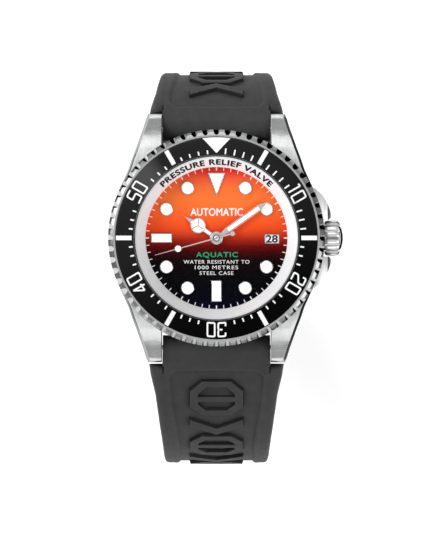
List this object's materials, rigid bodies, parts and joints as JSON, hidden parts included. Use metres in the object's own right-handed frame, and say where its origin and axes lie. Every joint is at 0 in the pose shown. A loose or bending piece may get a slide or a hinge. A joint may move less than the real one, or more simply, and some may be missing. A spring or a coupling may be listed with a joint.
{
  "type": "dive watch",
  "caption": "Diver's wristwatch: steel case, turning bezel with scooped edge, screw crown between guards, open rubber strap with pin buckle and a geared movement inside.",
  "frame": {"origin": "hand axis on the outer face of the case back", "axes": "+Z out through the crystal, +Y towards 12 o'clock, +X towards 3 o'clock and the crown"},
  "size_m": [0.0474, 0.081, 0.1],
  "materials": {
    "steel_case": "brushed, polished bevels",
    "steel_polished": "polished",
    "steel_satin": "circular satin",
    "sapphire": "clear, polished",
    "gasket": "matte",
    "ring_plastic": "matte",
    "dial_lacquer": "gloss, orange to black fade",
    "lume": "fine matte grain",
    "bezel_ceramic": "gloss black",
    "strap_rubber": "matte moulded",
    "spring_steel": "polished",
    "movement_plate": "striped nickel",
    "gilt_brass": "gilt",
    "ruby": "polished",
    "date_white": "printed white"
  },
  "bodies": {
    "case": {"mid_case": "steel_case", "crystal": "sapphire", "crystal_gasket": "gasket", "rehaut_ring": "steel_satin", "case_back": "steel_case", "case_back_gasket": "gasket", "crown_tube": "steel_case", "movement_ring": "ring_plastic", "dial": "dial_lacquer", "hour_markers": "steel_polished", "marker_lume": "lume", "bezel_click_spring": "spring_steel", "mainplate": "movement_plate", "train_bridge": "movement_plate", "balance_cock": "movement_plate", "jewels": "ruby", "movement_screws": "steel_polished", "lug_spring_bars": "steel_case", "rotor_bearing": "steel_polished", "relief_valve_spring": "spring_steel"},
    "bezel": {"bezel_ring": "steel_case", "bezel_insert": "bezel_ceramic", "bezel_gasket": "gasket"},
    "winding": {"clutch_wheel": "steel_polished", "winding_pinion": "steel_polished"},
    "crown": {"crown": "steel_case", "winding_stem": "steel_polished", "crown_gasket": "gasket"},
    "crown_wheel": {"crown_wheel": "steel_polished"},
    "ratchet": {"ratchet_wheel": "steel_polished"},
    "barrel": {"barrel": "gilt_brass", "mainspring": "spring_steel"},
    "seconds": {"seconds_wheel": "gilt_brass", "second_hand": "steel_polished"},
    "minutes": {"centre_wheel": "gilt_brass", "cannon_pinion": "steel_polished", "minute_hand": "steel_polished"},
    "third": {"third_wheel": "gilt_brass"},
    "escape": {"escape_wheel": "steel_polished"},
    "pallet": {"pallet_fork": "steel_polished"},
    "balance": {"balance_wheel": "gilt_brass", "hairspring": "spring_steel"},
    "minute_wheel": {"minute_wheel": "gilt_brass"},
    "hours": {"hour_wheel": "gilt_brass", "hour_hand": "steel_polished"},
    "date_wheel": {"date_wheel": "gilt_brass"},
    "date_disc": {"date_disc": "date_white"},
    "rotor": {"rotor": "movement_plate"},
    "valve": {"relief_valve": "steel_case"},
    "strap_12": {"strap_12": "strap_rubber"},
    "strap_6": {"strap_6": "strap_rubber"},
    "buckle": {"buckle_frame": "steel_case", "buckle_bar": "steel_case"},
    "tang": {"buckle_tang": "steel_case"},
    "keeper": {"keeper": "strap_rubber"},
    "tip_12_crown": {"bar_tip_12_crown": "steel_polished"},
    "tip_12_valve": {"bar_tip_12_valve": "steel_polished"},
    "tip_6_crown": {"bar_tip_6_crown": "steel_polished"},
    "tip_6_valve": {"bar_tip_6_valve": "steel_polished"}
  },
  "joints": [
    {"name": "bezel_turn", "type": "hinge", "parent": "case", "child": "bezel", "pos_m": [0, 0, 0.012], "axis": [0, 0, 1], "continuous": true},
    {"name": "crown_turn", "type": "hinge", "parent": "case", "child": "winding", "pos_m": [0.009, 0, 0.0058], "axis": [1, 0, 0], "continuous": true},
    {"name": "crown_pull", "type": "slide", "parent": "winding", "child": "crown", "axis": [1, 0, 0], "range_m": [0, 0.0022]},
    {"name": "crown_wheel_turn", "type": "hinge", "parent": "case", "child": "crown_wheel", "pos_m": [0.0066, 0, 0.004], "axis": [0, 0, 1], "continuous": true},
    {"name": "ratchet_turn", "type": "hinge", "parent": "case", "child": "ratchet", "pos_m": [0.00143, 0.00534, 0.004], "axis": [0, 0, 1], "continuous": true},
    {"name": "seconds_turn", "type": "hinge", "parent": "case", "child": "seconds", "pos_m": [0, 0, 0.009], "axis": [0, 0, 1], "continuous": true},
    {"name": "minutes_turn", "type": "hinge", "parent": "case", "child": "minutes", "pos_m": [0, 0, 0.009], "axis": [0, 0, 1], "continuous": true},
    {"name": "hours_turn", "type": "hinge", "parent": "case", "child": "hours", "pos_m": [0, 0, 0.009], "axis": [0, 0, 1], "continuous": true},
    {"name": "third_turn", "type": "hinge", "parent": "case", "child": "third", "pos_m": [-0.00372, -0.00135, 0.004], "axis": [0, 0, 1], "continuous": true},
    {"name": "barrel_turn", "type": "hinge", "parent": "case", "child": "barrel", "pos_m": [0.00143, 0.00534, 0.005], "axis": [0, 0, 1], "continuous": true, "deforming": ["mainspring"]},
    {"name": "escape_turn", "type": "hinge", "parent": "case", "child": "escape", "pos_m": [0.00034, -0.00384, 0.005], "axis": [0, 0, 1], "continuous": true},
    {"name": "minute_wheel_turn", "type": "hinge", "parent": "case", "child": "minute_wheel", "pos_m": [-0.00144, -0.00249, 0.0074], "axis": [0, 0, 1], "continuous": true},
    {"name": "date_wheel_turn", "type": "hinge", "parent": "case", "child": "date_wheel", "pos_m": [-0.00444, 0.00529, 0.0076], "axis": [0, 0, 1], "continuous": true},
    {"name": "date_disc_turn", "type": "hinge", "parent": "case", "child": "date_disc", "pos_m": [0, 0, 0.0079], "axis": [0, 0, 1], "continuous": true},
    {"name": "pallet_swing", "type": "hinge", "parent": "case", "child": "pallet", "pos_m": [0.00242, -0.00529, 0.005], "axis": [0, 0, 1], "range_deg": [-5, 5]},
    {"name": "balance_swing", "type": "hinge", "parent": "case", "child": "balance", "pos_m": [0.0052, -0.00724, 0.004], "axis": [0, 0, 1], "range_deg": [-270, 270], "deforming": ["hairspring"]},
    {"name": "rotor_turn", "type": "hinge", "parent": "case", "child": "rotor", "pos_m": [0, 0, 0.0024], "axis": [0, 0, 1], "continuous": true},
    {"name": "relief_valve_slide", "type": "slide", "parent": "case", "child": "valve", "axis": [-1, 0, 0], "range_m": [0, 0.0006], "stiffness_N_per_m": 500, "deforming": ["relief_valve_spring"]},
    {"name": "strap_12_swing", "type": "hinge", "parent": "case", "child": "strap_12", "pos_m": [0, 0.0223, 0.0032], "axis": [1, 0, 0], "range_deg": [-10, 40]},
    {"name": "strap_6_swing", "type": "hinge", "parent": "case", "child": "strap_6", "pos_m": [0, -0.0223, 0.0032], "axis": [1, 0, 0], "range_deg": [-25, 10]},
    {"name": "buckle_swing", "type": "hinge", "parent": "strap_12", "child": "buckle", "pos_m": [0, 0.01582, -0.05689], "axis": [1, 0, 0], "range_deg": [-60, 60]},
    {"name": "tang_swing", "type": "hinge", "parent": "buckle", "child": "tang", "pos_m": [0, 0.01582, -0.05689], "axis": [1, 0, 0], "range_deg": [0, 60]},
    {"name": "keeper_slide", "type": "slide", "parent": "strap_12", "child": "keeper", "axis": [0, -0.5001, -0.8659], "range_m": [-0.006, 0]},
    {"name": "bar_tip_12_crown_press", "type": "slide", "parent": "case", "child": "tip_12_crown", "axis": [-1, 0, 0], "range_m": [0, 0.0011]},
    {"name": "bar_tip_12_valve_press", "type": "slide", "parent": "case", "child": "tip_12_valve", "axis": [1, 0, 0], "range_m": [0, 0.0011]},
    {"name": "bar_tip_6_crown_press", "type": "slide", "parent": "case", "child": "tip_6_crown", "axis": [-1, 0, 0], "range_m": [0, 0.0011]},
    {"name": "bar_tip_6_valve_press", "type": "slide", "parent": "case", "child": "tip_6_valve", "axis": [1, 0, 0], "range_m": [0, 0.0011]}
  ],
  "couplings": [
    {"joint": "third_turn", "follows": "seconds_turn", "ratio": -0.13333},
    {"joint": "minutes_turn", "follows": "seconds_turn", "ratio": 0.016667},
    {"joint": "barrel_turn", "follows": "seconds_turn", "ratio": -0.0022222},
    {"joint": "escape_turn", "follows": "seconds_turn", "ratio": -12},
    {"joint": "minute_wheel_turn", "follows": "seconds_turn", "ratio": -0.0055556},
    {"joint": "hours_turn", "follows": "seconds_turn", "ratio": 0.0013889},
    {"joint": "date_wheel_turn", "follows": "seconds_turn", "ratio": -0.00069444},
    {"joint": "date_disc_turn", "follows": "seconds_turn", "ratio": -0.000022401},
    {"joint": "crown_wheel_turn", "follows": "crown_turn", "ratio": 0.48},
    {"joint": "ratchet_turn", "follows": "crown_turn", "ratio": -0.30933}
  ]
}
